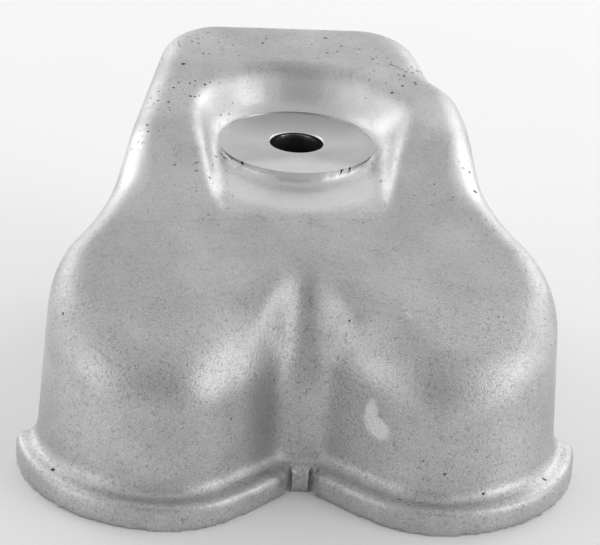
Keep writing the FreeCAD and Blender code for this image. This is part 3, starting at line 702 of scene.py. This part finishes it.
@dataclass
class Casting:
    """The one-piece cover: the solid's copy with a real casting's soft rims and uneven skin."""

    node: str = "rocker_cover"
    voxel: float = 0.98 * MM
    sliver: float = 0.03 * MM
    waviness: float = 0.14 * MM
    wave_scale: float = 85.0
    wave_seed: int = 7
    sharp_edge: float = math.radians(40.0)
    turning_steps: int = 144
    lumps: tuple[Lump, ...] = (Lump((-7.6, -57.5, 4.5), (4.6, 6.0, 3.4), 0.45),)
    gutter: Gutter = Gutter()
    swell: Swell = Swell()
    notch: Notch = Notch()
    finish: CastAluminium = field(default_factory=CastAluminium)

    def copy_solid(self, source: bpy.types.Object) -> bpy.types.Object:
        """Copies the CAD node and joins its loose triangles.

        Args:
            source: The CAD node's object.

        Returns:
            A new object with a closed mesh.
        """
        mesh = bmesh.new()
        mesh.from_mesh(source.data)
        bmesh.ops.remove_doubles(mesh, verts=mesh.verts, dist=0.002 * MM)
        data = bpy.data.meshes.new("cast_cover")
        mesh.to_mesh(data)
        mesh.free()
        data.materials.clear()
        piece = bpy.data.objects.new("cast_cover", data)
        bpy.context.scene.collection.objects.link(piece)
        return piece

    def bake(self, piece: bpy.types.Object) -> None:
        """Applies the object's modifiers to its mesh and takes them off."""
        depsgraph = bpy.context.evaluated_depsgraph_get()
        data = bpy.data.meshes.new_from_object(piece.evaluated_get(depsgraph))
        piece.modifiers.clear()
        piece.data = data

    def soften(self, piece: bpy.types.Object) -> None:
        """Meshes the casting evenly and takes the knife edge off its rims."""
        remesh = piece.modifiers.new("even_mesh", "REMESH")
        remesh.mode = "VOXEL"
        remesh.voxel_size = self.voxel
        remesh.use_smooth_shade = True
        smooth = piece.modifiers.new("soft_rims", "SMOOTH")
        smooth.factor = 0.5
        smooth.iterations = 3
        self.bake(piece)

    def skin_group(self) -> bpy.types.NodeTree:
        """A geometry group: waves sunk into the skin, lumps, the gutter and the fuller side."""
        group = new_group(
            "uneven_skin",
            "GeometryNodeTree",
            {
                "Geometry": ("NodeSocketGeometry", None),
                "Depth": ("NodeSocketFloat", self.waviness),
                "Wave Scale": ("NodeSocketFloat", self.wave_scale),
                "Seed": ("NodeSocketInt", self.wave_seed),
                "Finish": ("NodeSocketMaterial", None),
            },
            {"Geometry": "NodeSocketGeometry"},
        )
        way_in = group.add("NodeGroupInput")
        way_out = group.add("NodeGroupOutput")
        place = group.add("GeometryNodeInputPosition").outputs["Position"]
        normal = group.add("GeometryNodeInputNormal").outputs["Normal"]
        height = group.add("ShaderNodeSeparateXYZ", {"Vector": place}).outputs["Z"]
        waves = group.add("ShaderNodeTexNoise", {"Vector": place}, noise_dimensions="4D")
        group.put(waves.inputs["Scale"], way_in.outputs["Wave Scale"])
        group.put(waves.inputs["W"], way_in.outputs["Seed"])
        lift = group.times(waves.outputs[0], way_in.outputs["Depth"], -1.0)
        for lump in self.lumps:
            centre = tuple(value * MM for value in lump.centre)
            reach = tuple(value * MM for value in lump.reach)
            off = group.vector("DIVIDE", group.vector("SUBTRACT", place, centre), reach)
            rise = group.span(group.vector("LENGTH", off), 1.0, 0.6, 0.0, lump.lift * MM)
            lift = group.math("ADD", lift, rise)
        lift = group.times(lift, group.span(height, 0.8 * MM, 2.5 * MM))
        offset = group.vector("ADD", group.scaled(normal, lift), self.fold(group, place))
        offset = group.vector("ADD", offset, self.widen(group, place))
        moved = group.add("GeometryNodeSetPosition", {"Offset": offset})
        real = group.add("GeometryNodeRealizeInstances")
        dressed = group.add("GeometryNodeSetMaterial", {"Material": way_in.outputs["Finish"]})
        steps = (way_in, moved, real, dressed, way_out)
        for before, after in zip(steps, steps[1:]):
            group.put(after.inputs["Geometry"], before.outputs["Geometry"])
        return group.tree

    def fold(self, group: Nodes, place: object) -> bpy.types.NodeSocket:
        """The shift that presses the gutter between the lobes' crests, through the whole wall.

        Args:
            group: The writer of the geometry group.
            place: The point's position.

        Returns:
            The shift as a vector socket.
        """
        gutter = self.gutter
        lean = math.radians(gutter.lean)
        along = (0.0, math.cos(lean), math.sin(lean))
        inward = (0.0, math.sin(lean), -math.cos(lean))
        off = group.vector("SUBTRACT", place, tuple(value * MM for value in gutter.middle))
        aside = group.math("ABSOLUTE", group.vector("DOT_PRODUCT", off, (1.0, 0.0, 0.0)))
        reached = group.vector("DOT_PRODUCT", off, along)
        share = group.math("DIVIDE", reached, gutter.half_length * MM)
        top, foot = gutter.top_half_width * MM, gutter.foot_half_width * MM
        edge = group.span(share, 1.0, -0.3, top, foot)
        across = group.span(group.math("DIVIDE", aside, edge), 1.0, 0.05)
        lengthwise = group.span(group.math("ABSOLUTE", share), 1.0, 0.1)
        sunk = group.math("ABSOLUTE", group.vector("DOT_PRODUCT", off, inward))
        near = group.span(sunk, 16.0 * MM, 11.0 * MM)
        return group.scaled(inward, group.times(across, lengthwise, gutter.depth * MM, near))

    def widen(self, group: Nodes, place: object) -> bpy.types.NodeSocket:
        """The shift to the right that fills out the neck's right side behind the seat.

        Args:
            group: The writer of the geometry group.
            place: The point's position.

        Returns:
            The shift as a vector socket.
        """
        swell = self.swell
        axes = group.add("ShaderNodeSeparateXYZ", {"Vector": place})
        share = group.span(axes.outputs["X"], swell.inner, swell.outer)
        for start, axis, full in (
            (swell.rear, "Y", swell.full),
            (swell.front, "Y", swell.full),
            (swell.low, "Z", swell.high),
        ):
            share = group.times(share, group.span(axes.outputs[axis], start, full))
        shift = group.add("ShaderNodeCombineXYZ", {"X": group.times(share, swell.reach)})
        return shift.outputs["Vector"]

    def roughen(self, piece: bpy.types.Object, material: bpy.types.Material) -> None:
        """Gives the skin its waves and lumps, and its material."""
        modifier = piece.modifiers.new("uneven_skin", "NODES")
        modifier.node_group = self.skin_group()
        values = {
            "Depth": self.waviness,
            "Wave Scale": self.wave_scale,
            "Seed": self.wave_seed,
            "Finish": material,
        }
        for item in modifier.node_group.interface.items_tree:
            if item.name in values and item.in_out == "INPUT":
                modifier[item.identifier] = values[item.name]
        self.bake(piece)

    def turn_solid(
        self, name: str, profile: list[tuple[float, float]], axis: tuple[float, float]
    ) -> bpy.types.Object:
        """Turns a profile of radius and height round an upright axis into a closed solid.

        Args:
            name: The solid's name.
            profile: Radius and height of each point, from the axis to the axis.
            axis: The axis's X and Y.

        Returns:
            The new object.
        """
        mesh = bmesh.new()
        verts = [mesh.verts.new((axis[0] + radius, axis[1], height)) for radius, height in profile]
        edges = [mesh.edges.new(pair) for pair in zip(verts, verts[1:])]
        bmesh.ops.spin(
            mesh,
            geom=verts + edges,
            cent=(*axis, 0.0),
            axis=(0.0, 0.0, 1.0),
            angle=math.tau,
            steps=self.turning_steps,
        )
        bmesh.ops.remove_doubles(mesh, verts=mesh.verts, dist=0.01 * MM)
        bmesh.ops.recalc_face_normals(mesh, faces=mesh.faces)
        data = bpy.data.meshes.new(name)
        mesh.to_mesh(data)
        mesh.free()
        solid = bpy.data.objects.new(name, data)
        bpy.context.scene.collection.objects.link(solid)
        return solid

    def machine(self, piece: bpy.types.Object, seat: Seat) -> None:
        """Cuts the bolt seat and its hole crisp and flat, as they are turned after casting."""
        axis = (0.0, seat.bolt_y)
        face = seat.height - seat.skim
        foot, split, top = 50.0 * MM, 55.0 * MM, 62.0 * MM
        disc = [(0.0, foot), (seat.radius, foot), (seat.radius, top), (0.0, top)]
        plate = self.turn_solid("seat_plate", disc, axis)
        for vertex in plate.data.vertices:
            if vertex.co.z < split:
                fall = math.tan(seat.floor_fall) * (vertex.co.y - seat.bolt_y)
                vertex.co.z = seat.height - seat.step + fall
        bottom, clear, reach = 45.0 * MM, 66.0 * MM, seat.radius + 0.02 * MM
        profile = [
            (0.0, bottom),
            (seat.hole, bottom),
            (seat.hole, face - seat.chamfer),
            (seat.hole + seat.chamfer, face),
            (reach, face),
            (reach, clear),
            (0.0, clear),
        ]
        cutter = self.turn_solid("seat_cutter", profile, axis)
        notch = self.notch
        rod = [(0.0, -MM), (notch.radius, -MM), (notch.radius, notch.top), (0.0, notch.top)]
        tools = [(plate, Side.ADD), (cutter, Side.CUT)]
        for aside in (-notch.aside, notch.aside):
            tools.append((self.turn_solid("notch_cutter", rod, (aside, notch.ahead)), Side.CUT))
        for tool, side in tools:
            cut = piece.modifiers.new(tool.name, "BOOLEAN")
            cut.object = tool
            cut.operation = side.value
            cut.solver = "EXACT"
        self.bake(piece)
        for tool, _ in tools:
            bpy.data.objects.remove(tool)
        self.mend(piece)

    def mend(self, piece: bpy.types.Object) -> None:
        """Closes the hair-fine slivers that the cuts leave along their edges."""
        mesh = bmesh.new()
        mesh.from_mesh(piece.data)
        bmesh.ops.remove_doubles(mesh, verts=mesh.verts, dist=self.sliver)
        bmesh.ops.dissolve_degenerate(mesh, edges=mesh.edges, dist=self.sliver)
        bmesh.ops.triangulate(mesh, faces=[face for face in mesh.faces if len(face.verts) > 4])
        mesh.to_mesh(piece.data)
        mesh.free()

    def build(self, source: bpy.types.Object) -> bpy.types.Object:
        """Makes the casting.

        Args:
            source: The CAD node's object.

        Returns:
            The finished piece, riding on the root body.
        """
        low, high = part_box(self.node)
        seat = Seat(bolt_y=0.0149)
        piece = self.copy_solid(source)
        self.soften(piece)
        material = self.finish.make(seat)
        self.roughen(piece, material)
        self.machine(piece, seat)
        piece.data.materials.clear()
        piece.data.materials.append(material)
        for polygon in piece.data.polygons:
            polygon.use_smooth = True
            polygon.material_index = 0
        piece.data.set_sharp_from_angle(angle=self.sharp_edge)
        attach(piece, "root")
        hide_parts(self.node)
        tall = (high.z - low.z) / MM
        LOG.info("%s: %d faces, %.1f mm high", piece.name, len(piece.data.polygons), tall)
        return piece


# --------------------------------------------------------------------------------------
# The studio
# --------------------------------------------------------------------------------------


def toward(turn: float, rise: float) -> Vector:
    """A direction from the cover.

    Args:
        turn: Degrees round from the front to the right.
        rise: Degrees up from the floor.

    Returns:
        The direction as a unit vector.
    """
    round_by, up_by = math.radians(turn), math.radians(rise)
    level = math.cos(up_by)
    return Vector((math.sin(round_by) * level, -math.cos(round_by) * level, math.sin(up_by)))


@dataclass(frozen=True)
class SoftBox:
    """A soft lamp that shines at the cover; `brightness` is how bright its face looks."""

    name: str
    turn: float
    rise: float
    distance: float
    width: float
    height: float
    brightness: float

    def make(self) -> bpy.types.Object:
        """Builds the lamp."""
        data = bpy.data.lights.new(self.name, "AREA")
        data.shape = "RECTANGLE"
        data.size = self.width
        data.size_y = self.height
        data.energy = self.brightness * math.pi * self.width * self.height
        lamp = bpy.data.objects.new(self.name, data)
        bpy.context.scene.collection.objects.link(lamp)
        way = toward(self.turn, self.rise)
        lamp.location = way * self.distance
        lamp.rotation_euler = (-way).to_track_quat("-Z", "Y").to_euler()
        return lamp


@dataclass
class Studio:
    """Floor, surround, lamps and camera."""

    surround: float = 0.85
    ahead: float = 0.34
    overhead: float = 0.72
    floor: PaleFloor = field(default_factory=PaleFloor)
    boxes: tuple[SoftBox, ...] = (
        SoftBox("right_rear_box", 136.0, 30.0, 1.0, 0.65, 0.65, 1.5),
        SoftBox("left_rear_box", -138.0, 30.0, 1.0, 0.65, 0.65, 1.5),
        SoftBox("right_front_box", 64.0, 20.0, 1.0, 0.50, 0.75, 1.65),
        SoftBox("left_front_box", -70.0, 13.0, 1.0, 0.45, 0.45, 1.15),
    )
    aim: tuple[float, float, float] = (0.0028, 0.0149, 0.02417)
    distance: float = 0.61927
    turn: float = 0.0864618
    rise: float = 0.4436405
    roll: float = 0.0620994
    lens: float = 149.41

    def make_floor(self) -> None:
        """Lays the floor under the cover."""
        mesh = bmesh.new()
        bmesh.ops.create_grid(mesh, x_segments=4, y_segments=4, size=2.5)
        data = bpy.data.meshes.new("floor")
        mesh.to_mesh(data)
        mesh.free()
        floor = bpy.data.objects.new("floor", data)
        bpy.context.scene.collection.objects.link(floor)
        data.materials.append(self.floor.make())

    def make_surround(self) -> None:
        """Sets a pale surround, dimmer overhead and in front, where the camera stands."""
        world = bpy.data.worlds.new("surround")
        bpy.context.scene.world = world
        world.use_nodes = True
        world.node_tree.nodes.clear()
        nodes = Nodes(world.node_tree)
        way = nodes.add("ShaderNodeTexCoord").outputs["Generated"]
        ahead = nodes.vector("DOT_PRODUCT", way, tuple(toward(-3.0, 17.0)))
        overhead = nodes.vector("DOT_PRODUCT", way, (0.0, 0.0, 1.0))
        dim_ahead = nodes.span(ahead, 0.55, 0.98, 1.0, self.ahead)
        dim_overhead = nodes.span(overhead, 0.6, 0.98, 1.0, self.overhead)
        strength = nodes.times(dim_ahead, dim_overhead, self.surround)
        light = nodes.add("ShaderNodeBackground", {"Color": grey(1.0), "Strength": strength})
        nodes.add("ShaderNodeOutputWorld", {"Surface": light.outputs["Background"]})

    def make_camera(self) -> None:
        """Places the camera in front of the cover, looking down on it."""
        side = Vector((math.cos(self.turn), -math.sin(self.turn), 0.0))
        back = Vector(
            (
                -math.sin(self.turn) * math.cos(self.rise),
                -math.cos(self.turn) * math.cos(self.rise),
                math.sin(self.rise),
            )
        )
        up = back.cross(side)
        right = side * math.cos(self.roll) + up * math.sin(self.roll)
        top = up * math.cos(self.roll) - side * math.sin(self.roll)
        data = bpy.data.cameras.new("camera")
        data.lens = self.lens
        data.sensor_width = 36.0
        data.sensor_fit = "HORIZONTAL"
        data.clip_start = 0.01
        data.clip_end = 20.0
        camera = bpy.data.objects.new("camera", data)
        bpy.context.scene.collection.objects.link(camera)
        turned = Matrix((right, top, back)).transposed().to_4x4()
        turned.translation = Vector(self.aim) + back * self.distance
        camera.matrix_world = turned
        bpy.context.scene.camera = camera

    def build(self) -> None:
        """Makes the whole studio."""
        self.make_floor()
        self.make_surround()
        for box in self.boxes:
            box.make()
        self.make_camera()
        bpy.context.scene.view_settings.view_transform = "Standard"


def main() -> None:
    """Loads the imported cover, dresses it and sets up the studio."""
    logging.basicConfig(level=logging.INFO, format="%(name)s: %(message)s")
    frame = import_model()
    Casting().build(frame["nodes"]["rocker_cover"])
    Studio().build()


if __name__ == "__main__":
    main()
